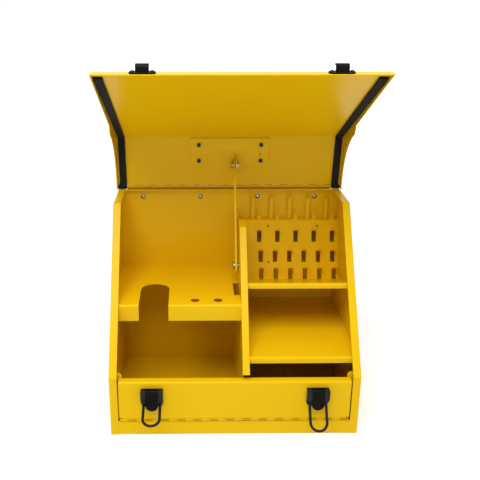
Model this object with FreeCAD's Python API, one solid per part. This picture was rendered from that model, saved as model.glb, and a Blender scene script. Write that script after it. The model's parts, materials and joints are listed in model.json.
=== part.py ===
import FreeCAD, Part
import math
import os

# Sheet-steel toolbox with a sloping mouth: millimetres, +Z up, +X to the user's right.
# The front plane of the case is y = 0 while modelling; export moves the origin to the base centre.
# The lid is drawn shut and then turned open about its hinge, as the box stands in use.

# Case
width = 380.0
depth = 246.0
height = 326.0
lip_height = 98.0
top_run = 88.0
sheet = 1.5
bend_inside = 2.0
base_bend_inside = 0.5
rim_width = 12.0
back_rim = 10.0
mouth_inset = 2.0
run_gap = 0.3
edge_round = 1.2
over = 1.0

# Drop front and its hinge
front_hinge_height = 26.0
front_side_gap = 2.0
front_top_flange = 12.5
front_top_drop = 6.0
front_barrel = 2.0
front_hinge_pin_radius = 0.9
front_leaf_width = 14.0
hinge_end = 15.0
knuckle_count = 28
leaf = 1.0
pin_clearance = 0.05
corner_notch = 5.0

# Stops behind the drop front
stop_reach = 17.0
stop_leg = 18.0
stop_rise = 3.0
stop_height = 34.0
stop_round = 6.0
stop_button_radius = 2.4
stop_button_drop = 15.0

# Divider and shelves
divider_x = 12.0
divider_drop = 34.0
divider_foot_gap = 3.5
divider_step = 3.0
divider_flange = 10.5
divider_top_flange = 38.0
left_shelf_drop = 137.0
left_shelf_flange = 27.0
drill_slot_inset = 64.5
drill_slot_width = 46.0
drill_slot_length = 85.0
tool_hole_gaps = (71.5, 35.5)
tool_hole_setback = 18.0
tool_hole_radius = 7.0
right_shelf_z = 121.5
right_shelf_lip = 10.0

# Socket tray: a tilted floor and panel with lanced tabs, and fingers on its ledge
tray_lip_drop = 110.0
tray_lip = 9.5
tray_tilt = 19.5
tray_ledge = 14.7
tray_panel = 102.0
tab_width = 6.5
tab_length = 19.0
tab_tip = 3.0
tab_slot_gap = 0.5
tab_bend = 1.0
tab_count = (5, 6, 6)
tab_rise = (83.0, 48.5, 18.0)
tab_margins = ((38.5, 10.5), (41.0, 10.0), (42.0, 7.5))
finger_count = (5, 5)
finger_setback = (3.0, 10.5)
finger_tall = (11.0, 38.0)
finger_margins = ((39.0, 10.8), (28.5, 20.5))
finger_tip = 4.0
rack_holes = ((54.0, 91.5), (139.0, 91.5), (54.0, 29.0), (141.0, 29.0))
rack_hole_radius = 1.6

# Lid
lid_open = 83.0
gasket_thickness = 4.0
gasket_width = 11.5
gasket_edge = 4.0
skirt_gap = 0.8
skirt_depth = 6.5
lobe_start = 78.0
lobe_tip = (65.7, 17.5)
lobe_waist = (18.2, 24.0)
skirt_rear_depth = 9.5
lid_front_gap = 1.0
lid_front_overlap = 9.0
lid_rear_reach = 3.5
lid_bend_inside = 3.0

# Lid hinge
lid_barrel = 2.5
lid_hinge_pin_radius = 1.2
lid_leaf_width = 14.0
body_leaf_drop = 27.0
hinge_rivet_inset = 42.0
hinge_rivet_drop = 14.0
hinge_rivet_radius = 4.3
hinge_rivet_head = 2.2
hinge_rivet_shank = 2.4

# Lid stiffener plate with the ear for the stay
plate_sheet = 2.0
plate_side = 14.5
plate_rear = 9.3
plate_front = 11.0
notch_left = -38.0
notch_high = 64.0
notch_round = 9.0
ear_low = 33.0
ear_high = 58.0
ear_drop = 23.0
ear_round = 7.0
ear_side_gap = 1.0
plate_hole_x = 50.5
plate_hole_along = 58.5
plate_hole_radius = 2.2

# Stay: a flat bar that keeps its own angle, with an arc slot that rides on a shouldered pin
stay_along = 42.0
stay_drop = 8.5
stay_reach = 171.0
stay_thickness = 3.0
stay_side_gap = 0.3
stay_edge = 7.5
stay_slot_wall = 6.0
stay_tail = 12.0
stay_pin_radius = 3.0
stay_slot_clearance = 0.4
stay_bolt_head_radius = 5.0
stay_bolt_head = 3.3
stay_nut_radius = 5.5
stay_nut = 4.0
stay_pin_head_radius = 6.0
stay_slot_width = 9.0
stay_slot_margin = 4.0
stay_slot_steps = 16

# Draw latches: a channel base, a lever inside it and a wire bail that runs between the two
latch_inset = 64.5
latch_drop = 16.4
latch_tall = 31.0
latch_wall = 1.6
latch_wall_out = 8.0
latch_corner = 1.2
latch_shoulder = 8.0
latch_lip_rise = 5.1
latch_lip_round = 5.0
latch_rivet_up = (11.4, 19.4)
latch_rivet_radius = 2.2
latch_rivet_head = 1.0
lever_half = 9.6
lever_reach = 30.2
lever_out = 10.0
lever_back_gap = 1.5
lever_sheet = 1.6
lever_heel = 2.4
lever_head = 3.1
lever_pivot_drop = 3.4
lever_pin_radius = 1.3
lever_dish_rise = 15.5
lever_dish_radius = 6.8
lever_dish_depth = 0.6
bail_pivot_rise = 9.0
bail_land = 0.2
bail_wire = 2.1
bail_side_gap = 0.75
bail_slack = 0.05
bail_elbow = 2.5
bail_lean = {"left": 74.0, "right": 37.0}

# Keepers on the lid's front flange
keeper_half = 17.25
keeper_rise = 0.5
keeper_tall = 12.5
keeper_plate = 2.0
hook_half = 8.7
hook_sheet = 2.5
hook_out = 11.5
hook_rise = 3.0
hook_tall = 8.5
keeper_screw_x = 12.9
keeper_screw_radius = 3.0
keeper_screw_head = 2.2
keeper_screw_shank = 1.8

# Carrying handle on the lid
handle_bolt_x = 52.0
handle_bolt_along = (47.3, 75.0)
bracket_plate = 2.5
bracket_half_x = 6.0
bracket_end = 7.0
handle_pivot_height = 9.0
handle_bar = 4.0
bracket_wall = 2.8
bracket_flare = 2.0
bracket_shoulder = 4.1
handle_side_gap = 1.0
handle_leg = 42.0
handle_elbow = 9.0
handle_fold = 10.0
grip_radius = 10.5
grip_waist = 9.4
grip_half = 49.0
grip_chamfer = 2.0
handle_bolt_radius = 2.0
handle_bolt_head_radius = 4.0
handle_bolt_head = 2.4
handle_nut_radius = 3.4
handle_nut = 3.2

slope_run = depth - top_run
slope_angle = math.atan2(height - lip_height, slope_run)
half = width / 2
inner_half = half - sheet
back_inner = depth - sheet
lid_gap = gasket_thickness + run_gap
hinge_y = depth + leaf - lid_barrel
hinge_z = height + lid_gap
lid_half = half + skirt_gap + sheet
lid_bend_y = slope_run - lid_gap * math.tan(slope_angle / 2)
knuckle_pitch = 2 * (half - hinge_end) / knuckle_count
stop_top = lip_height + stop_rise
divider_top = height - divider_drop
ear_x = divider_x - ear_side_gap - sheet
drill_slot_x = drill_slot_inset - inner_half
left_shelf_z = height - left_shelf_drop
tray_lip_z = height - tray_lip_drop
lid_front_flange_bottom = lip_height - lid_front_overlap
hinge_rivet_far = half - hinge_rivet_inset
hinge_rivet_x = (-hinge_rivet_far, -hinge_rivet_far / 3, hinge_rivet_far / 3, hinge_rivet_far)
hinge_rivet_z = height - hinge_rivet_drop
plate_half = handle_bolt_x + plate_side
plate_low = handle_bolt_along[0] - plate_rear
plate_high = handle_bolt_along[1] + plate_front
latch_x = half - latch_inset
latch_top = lip_height - latch_drop
latch_foot = latch_top - latch_tall
lever_pivot_z = latch_top - lever_pivot_drop
lever_pivot_out = sheet + run_gap + lever_heel
lever_top = lever_pivot_z + lever_head
lever_nose = lever_pivot_z - lever_reach
lever_dish_z = lever_nose + lever_dish_rise
bail_pivot_z = lever_nose + bail_pivot_rise
bail_pivot_out = lever_out - lever_sheet - bail_land - pin_clearance - bail_wire
bail_half = lever_half + bail_side_gap + bail_wire
latch_half = bail_half + bail_wire + bail_side_gap + latch_wall
keeper_low = lid_front_flange_bottom + keeper_rise
keeper_high = keeper_low + keeper_tall
hook_low = keeper_low + hook_rise
hook_high = hook_low + hook_tall
bail_length = hook_low + hook_sheet + bail_wire + bail_slack - bail_pivot_z
X_AXIS = FreeCAD.Vector(1, 0, 0)


def point(y, z, x=0.0):
    return FreeCAD.Vector(x, y, z)


def box(x0, x1, y0, y1, z0, z1):
    return Part.makeBox(x1 - x0, y1 - y0, z1 - z0, FreeCAD.Vector(x0, y0, z0))


def rod(x0, x1, y, z, radius):
    """Round bar along X."""
    return Part.makeCylinder(radius, x1 - x0, point(y, z, x0), X_AXIS)


def round_along(start, end, radius):
    """Round bar between two points."""
    way = end - start
    return Part.makeCylinder(radius, way.Length, start, way)


def slab(points, x0, x1):
    """Side-view outline of straight edges, carried from x0 to x1."""
    corners = [point(y, z, x0) for y, z in points]
    face = Part.Face(Part.makePolygon(corners + corners[:1]))
    return face.extrude(FreeCAD.Vector(x1 - x0, 0, 0))


def joined(first, others):
    """One solid from touching or overlapping pieces, with the seams between flat faces removed."""
    return first.fuse(others).removeSplitter()


def face_line(points, offset, thickness, inside, x):
    """Edges of one face of a bent sheet, offset to the left of the way along the points."""
    joints = []
    last = len(points) - 1
    ways = []
    for (y0, z0), (y1, z1) in zip(points, points[1:]):
        length = math.hypot(y1 - y0, z1 - z0)
        ways.append(((y1 - y0) / length, (z1 - z0) / length))
    for i, (y, z) in enumerate(points):
        before = ways[max(i - 1, 0)]
        after = ways[min(i, last - 1)]
        across = before[0] * after[1] - before[1] * after[0]
        turn = math.atan2(across, before[0] * after[0] + before[1] * after[1])
        if i in (0, last):
            joints.append([point(y - after[1] * offset, z + after[0] * offset, x)])
            continue
        side = 1 if turn > 0 else -1
        base_radius = inside + thickness if turn > 0 else inside
        setback = base_radius * math.tan(abs(turn) / 2)
        centre = (y - before[0] * setback - side * before[1] * base_radius,
                  z - before[1] * setback + side * before[0] * base_radius)
        radius = base_radius - side * offset
        out = math.atan2(z - centre[1], y - centre[0])
        start = (y - before[0] * setback, z - before[1] * setback)
        end = (y + after[0] * setback, z + after[1] * setback)
        joints.append([
            point(start[0] - before[1] * offset, start[1] + before[0] * offset, x),
            point(centre[0] + radius * math.cos(out), centre[1] + radius * math.sin(out), x),
            point(end[0] - after[1] * offset, end[1] + after[0] * offset, x)])
    return joints


def edges_of(joints):
    """Lines between the joints and an arc at each bend."""
    edges = []
    for i, joint in enumerate(joints):
        if len(joint) == 3:
            edges.append(Part.Arc(*joint).toShape())
        if i + 1 < len(joints):
            edges.append(Part.makeLine(joint[-1], joints[i + 1][0]))
    return edges


def bent_sheet(points, x0, x1, thickness=sheet, inside=bend_inside):
    """Sheet folded along a line of the side view; the points lie on its right-hand face."""
    right = face_line(points, 0.0, thickness, inside, x0)
    left = face_line(points, thickness, thickness, inside, x0)
    left = [joint[::-1] for joint in left[::-1]]
    edges = edges_of(right)
    edges.append(Part.makeLine(right[-1][-1], left[0][0]))
    edges += edges_of(left)
    edges.append(Part.makeLine(left[-1][-1], right[0][0]))
    return Part.Face(Part.Wire(edges)).extrude(FreeCAD.Vector(x1 - x0, 0, 0))


def slope_y(z, inset=0.0):
    """Depth of the sloping mouth at a height, set in square to the slope."""
    return (z - lip_height) / math.tan(slope_angle) + inset / math.sin(slope_angle)


def mirrored(shape):
    return shape.mirror(FreeCAD.Vector(0, 0, 0), X_AXIS)


def opened(shape):
    """Turn a piece of the shut lid to the open position."""
    turned = shape.copy()
    turned.rotate(point(hinge_y, hinge_z), X_AXIS, -lid_open)
    return turned


def on_lid(along, above=0.0):
    """Side-view place on the shut lid's rear panel: distance from the hinge, height over its inner face."""
    return hinge_y - along, hinge_z + above


def export(name, shape):
    placed = shape.copy()
    placed.translate(FreeCAD.Vector(0, -depth / 2, 0))
    placed.exportStep("parts/" + name + ".step")


def side_panel():
    """Left side: one sheet with a rim turned in along front, slope and top."""
    mouth = [(back_inner, height), (slope_run, height), (0.0, lip_height), (0.0, 0.0)]
    line = face_line(mouth, 0.0, sheet, bend_inside, -half)
    edges = edges_of(line)
    edges.append(Part.makeLine(line[-1][-1], point(depth, 0.0, -half)))
    edges.append(Part.makeLine(point(depth, 0.0, -half), point(depth, height, -half)))
    edges.append(Part.makeLine(point(depth, height, -half), line[0][0]))
    wall = Part.Face(Part.Wire(edges)).extrude(FreeCAD.Vector(sheet, 0, 0))
    panel = joined(wall, [bent_sheet(mouth, -half, -half + rim_width)])
    folded = [edge for edge in panel.Edges if is_rim_fold(edge)]
    return panel.makeFillet(edge_round, folded)


def is_rim_fold(edge):
    """The outer fold between the side sheet and its rim, along front, slope and top."""
    ends = [vertex.Point for vertex in edge.Vertexes]
    on_side = all(abs(end.x + half) < 1e-6 for end in ends)
    on_back = all(abs(end.y - depth) < 1e-6 for end in ends)
    on_floor = all(abs(end.z) < 1e-6 for end in ends)
    on_strip = all(end.y > back_inner - 1e-6 for end in ends)
    return on_side and not on_back and not on_floor and not on_strip


def back_panel():
    rim_half = half - rim_width
    folded = bent_sheet([(depth, 0.0), (depth, height), (depth - back_rim, height)], -rim_half, rim_half)
    strip = box(rim_half, inner_half, back_inner, depth, 0.0, height)
    panel = joined(folded, [strip, mirrored(strip)])
    for x in hinge_rivet_x:
        panel = panel.cut(round_along(point(back_inner, hinge_rivet_z, x), point(depth, hinge_rivet_z, x),
                                      hinge_rivet_shank))
    return panel


def base_pan():
    rim_half = half - rim_width
    strip_top = front_hinge_height - front_barrel - run_gap
    line = [(0.0, strip_top), (0.0, 0.0), (back_inner, 0.0)]
    folded = bent_sheet(line, -rim_half, rim_half, inside=base_bend_inside)
    strip = box(rim_half, inner_half, sheet, back_inner, 0.0, sheet)
    return joined(folded, [strip, mirrored(strip)])


def divider():
    """Upright wall between the two halves, flanged along the slope and a little way along its top."""
    foot_y = front_top_flange + divider_foot_gap
    step_z = lip_height + divider_step
    front_low = slope_y(step_z, mouth_inset)
    front_high = slope_y(divider_top, mouth_inset)
    top_end = (front_high + divider_top_flange, divider_top)
    flange_line = [top_end, (front_high, divider_top), (front_low, step_z)]
    outline = edges_of(face_line(flange_line, 0.0, sheet, bend_inside, divider_x))
    rest = [(front_low, step_z), (foot_y, step_z), (foot_y, sheet), (back_inner, sheet),
            (back_inner, divider_top), top_end]
    for (y0, z0), (y1, z1) in zip(rest, rest[1:]):
        outline.append(Part.makeLine(point(y0, z0, divider_x), point(y1, z1, divider_x)))
    web = Part.Face(Part.Wire(outline)).extrude(FreeCAD.Vector(sheet, 0, 0))
    return joined(web, [bent_sheet(flange_line, divider_x, divider_x + divider_flange)])


def left_shelf():
    """Shelf with a deep front flange, an open slot for a drill, tool holes and the stay's slot."""
    front = slope_y(left_shelf_z, mouth_inset)
    flange_foot = left_shelf_z - left_shelf_flange
    shelf = bent_sheet([(back_inner, left_shelf_z), (front, left_shelf_z), (front, flange_foot)],
                       -inner_half, divider_x)
    slot_half = drill_slot_width / 2
    slot_end = front + drill_slot_length - slot_half
    low = left_shelf_z - sheet - over
    high = left_shelf_z + over
    cuts = [box(drill_slot_x - slot_half, drill_slot_x + slot_half, front - over, slot_end,
                flange_foot - over, high),
            round_along(point(slot_end, low, drill_slot_x), point(slot_end, high, drill_slot_x), slot_half)]
    for gap in tool_hole_gaps:
        y = front + tool_hole_setback
        x = divider_x - gap
        cuts.append(round_along(point(y, low, x), point(y, high, x), tool_hole_radius))
    slot_front, slot_rear = stay_shelf_slot()
    cuts.append(box(divider_x - stay_slot_width, divider_x + over, slot_front, slot_rear, low, high))
    return shelf.cut(cuts)


def right_shelf():
    front = slope_y(right_shelf_z, mouth_inset + sheet + run_gap)
    lip_foot = right_shelf_z - right_shelf_lip
    return bent_sheet([(back_inner, right_shelf_z), (front, right_shelf_z), (front, lip_foot)],
                      divider_x + sheet, inner_half)


def tray_frame():
    """Side-view corners of the tray: lip top, fold of floor and panel, top of the panel."""
    tilt = math.radians(tray_tilt)
    lip_y = slope_y(tray_lip_z, mouth_inset + sheet + run_gap)
    top_y = back_inner - tray_ledge
    fold_y = top_y - tray_panel * math.sin(tilt)
    fold_z = tray_lip_z - (fold_y - lip_y) * math.tan(tilt)
    top_z = fold_z + tray_panel * math.cos(tilt)
    return (lip_y, tray_lip_z), (fold_y, fold_z), (top_y, top_z)


def on_tray(up, out):
    """Side-view place near the tray's panel: distance up from its fold, distance out from its face."""
    tilt = math.radians(tray_tilt)
    fold_y, fold_z = tray_frame()[1]
    y = fold_y + up * math.sin(tilt) - out * math.cos(tilt)
    z = fold_z + up * math.cos(tilt) + out * math.sin(tilt)
    return y, z


def spread(count, left_margin, right_margin):
    """Even places along X between the divider and the right wall, with a margin at each end."""
    first = divider_x + sheet + left_margin
    pitch = (inner_half - right_margin - first) / (count - 1)
    return [first + i * pitch for i in range(count)]


def socket_tray():
    """Tilted tray whose panel carries rows of lanced tabs, with upright fingers on its rear ledge."""
    lip, fold, top = tray_frame()
    tray = bent_sheet([(back_inner, top[1]), top, fold, lip, (lip[0], lip[1] - tray_lip)],
                      divider_x + sheet, inner_half)
    tabs = []
    slots = []
    tab_half = tab_width / 2
    behind = -sheet - over
    for count, up, margins in zip(tab_count, tab_rise, tab_margins):
        tip = on_tray(up + tab_tip, tab_length)
        line = [tip, on_tray(up, tab_length - tab_tip), on_tray(up, -sheet)]
        lance = [on_tray(up, over), on_tray(up, behind), on_tray(up - tab_length, behind),
                 on_tray(up - tab_length, over)]
        for x in spread(count, *margins):
            tabs.append(bent_sheet(line, x - tab_half, x + tab_half, inside=tab_bend))
            slots.append(slab(lance, x - tab_half - tab_slot_gap, x + tab_half + tab_slot_gap))
    for count, back, tall, margins in zip(finger_count, finger_setback, finger_tall, finger_margins):
        y = top[0] + back
        finger_top = top[1] + tall
        line = [(y, top[1] - sheet), (y, finger_top), (y - finger_tip, finger_top + finger_tip / 2)]
        for x in spread(count, *margins):
            tabs.append(bent_sheet(line, x - tab_half, x + tab_half, inside=tab_bend))
    for gap, up in rack_holes:
        x = divider_x + sheet + gap
        start = point(*on_tray(up, over), x)
        slots.append(round_along(start, point(*on_tray(up, behind), x), rack_hole_radius))
    return joined(tray.cut(slots), tabs)


def stop_bracket():
    """Angle on the left wall, with a round-cornered leg that the shut drop front stands against."""
    face_y = front_top_flange + run_gap
    low = stop_top - stop_height
    wall_x = -inner_half
    tip_x = wall_x + stop_reach
    corner = point(face_y, stop_top, tip_x)
    start = corner + FreeCAD.Vector(-stop_round, 0, 0)
    end = corner + FreeCAD.Vector(0, 0, -stop_round)
    centre = corner + FreeCAD.Vector(-stop_round, 0, -stop_round)
    middle = centre + FreeCAD.Vector(1, 0, 1).normalize() * stop_round
    edges = [Part.makeLine(point(face_y, low, wall_x), point(face_y, stop_top, wall_x)),
             Part.makeLine(point(face_y, stop_top, wall_x), start), Part.Arc(start, middle, end).toShape(),
             Part.makeLine(end, point(face_y, low, tip_x)),
             Part.makeLine(point(face_y, low, tip_x), point(face_y, low, wall_x))]
    leg = Part.Face(Part.Wire(edges)).extrude(FreeCAD.Vector(0, sheet, 0))
    foot = box(wall_x, wall_x + sheet, face_y, face_y + stop_leg, low, stop_top)
    return joined(leg, [foot])


def stop_buttons():
    """A steel button on each stop, behind the gap beside the drop front."""
    face_y = front_top_flange + run_gap
    x = half - rim_width - front_side_gap / 2
    z = stop_top - stop_button_drop
    button = Part.makeSphere(stop_button_radius, point(face_y, z, -x))
    button = button.common(box(-half, 0.0, 0.0, face_y, 0.0, height))
    return Part.makeCompound([button, mirrored(button)])


def front_panel():
    """Drop front with a top edge turned back, notched at the lower corners."""
    panel_half = half - rim_width - front_side_gap
    low = front_hinge_height + front_barrel + run_gap
    top = lip_height - front_top_drop
    line = [(front_top_flange, top), (0.0, top), (0.0, low)]
    panel = bent_sheet(line, -panel_half, panel_half)
    notch = box(panel_half - corner_notch, panel_half + over, -over, sheet + over, low - over, low + sheet)
    return panel.cut([notch, mirrored(notch)])


def knuckle_span(i):
    """Start and end of one hinge knuckle along X."""
    start = (i - knuckle_count / 2) * knuckle_pitch
    return start + run_gap / 2, start + knuckle_pitch - run_gap / 2


def hinge_leaf(plate_points, bridge_points, y, z, barrel, pin_radius, parity):
    """Leaf with every other knuckle: a long plate, and at each knuckle a bridge to a bored barrel."""
    length = knuckle_count * knuckle_pitch / 2
    pieces = []
    for i in range(parity, knuckle_count, 2):
        x0, x1 = knuckle_span(i)
        pieces.append(slab(bridge_points, x0, x1))
        pieces.append(rod(x0, x1, y, z, barrel))
    solid = joined(slab(plate_points, -length, length), pieces)
    return solid.cut(rod(-length - over, length + over, y, z, pin_radius + pin_clearance))


def rectangle(y0, y1, z0, z1):
    return [(y0, z0), (y1, z0), (y1, z1), (y0, z1)]


def front_leaf(side):
    """Leaf of the drop front's hinge, behind the sheet: side is 1 on the panel and -1 on the base strip."""
    y = front_axis_y()
    y0 = y + front_barrel - leaf
    y1 = y + front_barrel
    near = front_hinge_height + side * (front_barrel + run_gap)
    far = near + side * front_leaf_width
    plate = rectangle(y0, y1, min(near, far), max(near, far))
    bridge = rectangle(y0, y1, min(near, front_hinge_height), max(near, front_hinge_height))
    parity = (1 - side) // 2
    return hinge_leaf(plate, bridge, y, front_hinge_height, front_barrel, front_hinge_pin_radius, parity)


def front_axis_y():
    """The drop front's hinge axis: its leaves lie flat behind the front sheet."""
    return sheet + leaf - front_barrel


def hinge_pin(y, z, radius):
    length = knuckle_count * knuckle_pitch / 2
    return rod(-length, length, y, z, radius)


def lid_hinge_body_leaf():
    """Leaf outside the back panel, tangent to the barrel over the back wall."""
    near = hinge_z - lid_barrel - run_gap
    outside = depth + leaf
    plate = rectangle(depth, outside, height - body_leaf_drop, near)
    bridge = rectangle(depth, outside, near, hinge_z)
    solid = hinge_leaf(plate, bridge, hinge_y, hinge_z, lid_barrel, lid_hinge_pin_radius, 0)
    holes = [round_along(point(depth - over, hinge_rivet_z, x), point(outside + over, hinge_rivet_z, x),
                         hinge_rivet_shank) for x in hinge_rivet_x]
    return solid.cut(holes)


def lid_hinge_lid_leaf():
    """Leaf on the outer face of the lid's rear panel."""
    near = lid_barrel + run_gap
    plate = rectangle(hinge_y - lid_leaf_width, hinge_y - near, hinge_z + sheet, hinge_z + sheet + leaf)
    bridge = rectangle(hinge_y - near, hinge_y, hinge_z + sheet, hinge_z + sheet + leaf)
    return opened(hinge_leaf(plate, bridge, hinge_y, hinge_z, lid_barrel, lid_hinge_pin_radius, 1))


def dome(centre, way, radius, rise):
    """Low domed rivet head on a flat face."""
    ball = (radius * radius + rise * rise) / (2 * rise)
    sphere = Part.makeSphere(ball, centre - way * (ball - rise))
    return sphere.common(Part.makeCylinder(ball, 2 * rise, centre, way))


def hinge_rivets():
    rivets = []
    inward = FreeCAD.Vector(0, -1, 0)
    for x in hinge_rivet_x:
        inside = point(back_inner, hinge_rivet_z, x)
        outside = point(depth + leaf, hinge_rivet_z, x)
        shank = round_along(outside, inside, hinge_rivet_shank)
        rivets.append(joined(shank, [dome(inside, inward, hinge_rivet_radius, hinge_rivet_head),
                                     dome(outside, -inward, hinge_rivet_radius, hinge_rivet_head)]))
    return Part.makeCompound(rivets)


def lid_line(rear, front):
    """Inner face of the shut lid in the side view, from the hinge side to the front."""
    front_y = -lid_front_gap
    return [(rear, hinge_z), (lid_bend_y, hinge_z), (front_y, slope_y_lid(front_y))] + front


def slope_y_lid(y):
    """Height of the shut lid's inner sloping face at a depth."""
    return lip_height + y * math.tan(slope_angle) + lid_gap / math.cos(slope_angle)


def lid_shell():
    """One folded sheet: rear panel cut out for the hinge, sloping panel, front flange and lobed skirts."""
    rear = hinge_y + lid_rear_reach
    flange_foot = (-lid_front_gap, lid_front_flange_bottom)
    line = lid_line(rear, [flange_foot])
    shell = bent_sheet(line[::-1], -lid_half, lid_half, inside=lid_bend_inside)
    down = (math.sin(slope_angle), -math.cos(slope_angle))
    along = (-math.cos(slope_angle), -math.sin(slope_angle))
    front_edge = (-lid_front_gap, slope_y_lid(-lid_front_gap) - skirt_depth / math.cos(slope_angle))

    def below_slope(reach, drop):
        """Place below the sloping panel: reach forward from the bend, drop square to the panel."""
        return (lid_bend_y + along[0] * reach + down[0] * drop, hinge_z + along[1] * reach + down[1] * drop)

    lobe = below_slope(lobe_start, skirt_depth)
    tip = below_slope(*lobe_tip)
    waist = below_slope(*lobe_waist)
    rear_low = (rear, hinge_z - skirt_rear_depth)
    x = -lid_half
    top = [(rear, hinge_z), (lid_bend_y, hinge_z), (-lid_front_gap, slope_y_lid(-lid_front_gap))]
    edges = [Part.makeLine(point(*a, x), point(*b, x)) for a, b in zip(top, top[1:])]
    edges.append(Part.makeLine(point(*top[-1], x), point(*front_edge, x)))
    edges.append(Part.makeLine(point(*front_edge, x), point(*lobe, x)))
    edges.append(Part.makeLine(point(*lobe, x), point(*tip, x)))
    edges.append(Part.Arc(point(*tip, x), point(*waist, x), point(*rear_low, x)).toShape())
    edges.append(Part.makeLine(point(*rear_low, x), point(*top[0], x)))
    skirt = Part.Face(Part.Wire(edges)).extrude(FreeCAD.Vector(sheet, 0, 0))
    shell = joined(shell, [skirt, mirrored(skirt)])
    shell = shell.makeFillet(edge_round, [edge for edge in shell.Edges if is_lid_fold(edge)])
    cut_half = half - hinge_end + run_gap
    cut_y = hinge_y - lid_barrel - run_gap
    shell = shell.cut(box(-cut_half, cut_half, cut_y, rear + over, hinge_z - over, hinge_z + sheet + over))
    for x in (-handle_bolt_x, handle_bolt_x):
        for along_hinge in handle_bolt_along:
            y, z = on_lid(along_hinge)
            below = point(y, z - over, x)
            shell = shell.cut(round_along(below, point(y, z + sheet + over, x), handle_bolt_radius))
    return opened(shell)


def is_lid_fold(edge):
    """The outer folds between the lid's panels and its skirts."""
    folds = lid_line(hinge_y, [(-lid_front_gap, lid_front_flange_bottom)])
    line = face_line(folds[::-1], 0.0, sheet, lid_bend_inside, 0.0)
    middle = edge.valueAt((edge.FirstParameter + edge.LastParameter) / 2)
    if abs(abs(middle.x) - lid_half) > 1e-6:
        return False
    inner = Part.Wire(edges_of(line))
    flat = Part.Vertex(0.0, middle.y, middle.z)
    return abs(inner.distToShape(flat)[0] - sheet) < 1e-4 and middle.y < hinge_y - lid_barrel - 2 * run_gap


def gasket():
    """Foam strip on the left edge of the lid, folded with it, that lands on the case rim."""
    outer = lid_half - sheet - gasket_edge
    front_y = rim_width / 2
    line = [(hinge_y, hinge_z), (lid_bend_y, hinge_z), (front_y, slope_y_lid(front_y))]
    return opened(bent_sheet(line, -outer, -outer + gasket_width, gasket_thickness, lid_bend_inside))


def lid_plate():
    """Stiffener under the lid's rear panel, with an ear folded down out of its notch to carry the stay."""
    y_low, z_top = on_lid(plate_low)
    y_high = on_lid(plate_high)[0]
    low = z_top - plate_sheet
    plate = box(-plate_half, plate_half, y_high, y_low, low, z_top)
    notch_y = on_lid(notch_high)[0]
    notch = box(notch_left, ear_x, notch_y, y_low + over, low - over, z_top + over)
    folded = [edge for edge in notch.Edges if is_upright_at(edge, notch_left, notch_y)]
    plate = plate.cut(notch.makeFillet(notch_round, folded))
    y_ear_low = on_lid(ear_low)[0]
    y_ear_high = on_lid(ear_high)[0]
    ear = box(ear_x, ear_x + sheet, y_ear_high, y_ear_low, z_top - ear_drop, z_top)
    foot = z_top - ear_drop
    rounded = [edge for edge in ear.Edges if is_across_at(edge, foot)]
    pieces = [ear.makeFillet(ear_round, rounded)]
    plate = joined(plate, pieces)
    cuts = []
    for x in (-handle_bolt_x, handle_bolt_x):
        for along in handle_bolt_along:
            y = on_lid(along)[0]
            foot_hole = point(y, low - over, x)
            cuts.append(round_along(foot_hole, point(y, z_top + over, x), handle_bolt_radius))
    y = on_lid(plate_hole_along)[0]
    hole_foot = point(y, low - over, plate_hole_x)
    cuts.append(round_along(hole_foot, point(y, z_top + over, plate_hole_x), plate_hole_radius))
    pivot = on_lid(stay_along, -stay_drop)
    cuts.append(rod(ear_x - over, ear_x + sheet + over, *pivot, stay_pin_radius))
    return opened(plate.cut(cuts))


def is_upright_at(edge, x, y):
    return all(abs(v.X - x) < 1e-6 and abs(v.Y - y) < 1e-6 for v in edge.Vertexes)


def is_across_at(edge, z):
    ends = [v.Point for v in edge.Vertexes]
    return all(abs(end.z - z) < 1e-6 for end in ends) and abs(ends[0].x - ends[1].x) > 1e-6


def stay_line():
    """Open and shut places of the stay's pivot, and the way from open to shut."""
    shut = point(*on_lid(stay_along, -stay_drop))
    turn = FreeCAD.Rotation(X_AXIS, -lid_open)
    hinge = point(hinge_y, hinge_z)
    open_place = hinge + turn.multVec(shut - hinge)
    way = (shut - open_place).normalize()
    return open_place, shut, way


def stay_pin_place():
    """The pin is in line with the pivot's open and shut places, so the slot runs along the bar."""
    open_place, shut, way = stay_line()
    return open_place + way * stay_reach


def stay_bow():
    """Radius of the pivot's path about the lid hinge, and the rise of the arc slot over its chord."""
    radius = math.hypot(stay_along, stay_drop)
    return radius, radius * (1 - math.cos(math.radians(lid_open) / 2))


def stay_local(u, v, x=0.0):
    """Point of the stay in the open position: u down the bar from its pivot, v towards the back and down."""
    open_place, shut, way = stay_line()
    back = FreeCAD.Vector(0, -way.z, way.y)
    spot = open_place + way * u + back * v
    spot.x = x
    return spot


def stay_x():
    right = ear_x - stay_side_gap
    return right - stay_thickness, right


def stay_back_edge():
    return stay_bow()[1] + stay_pin_radius + stay_slot_clearance + stay_slot_wall


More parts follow.
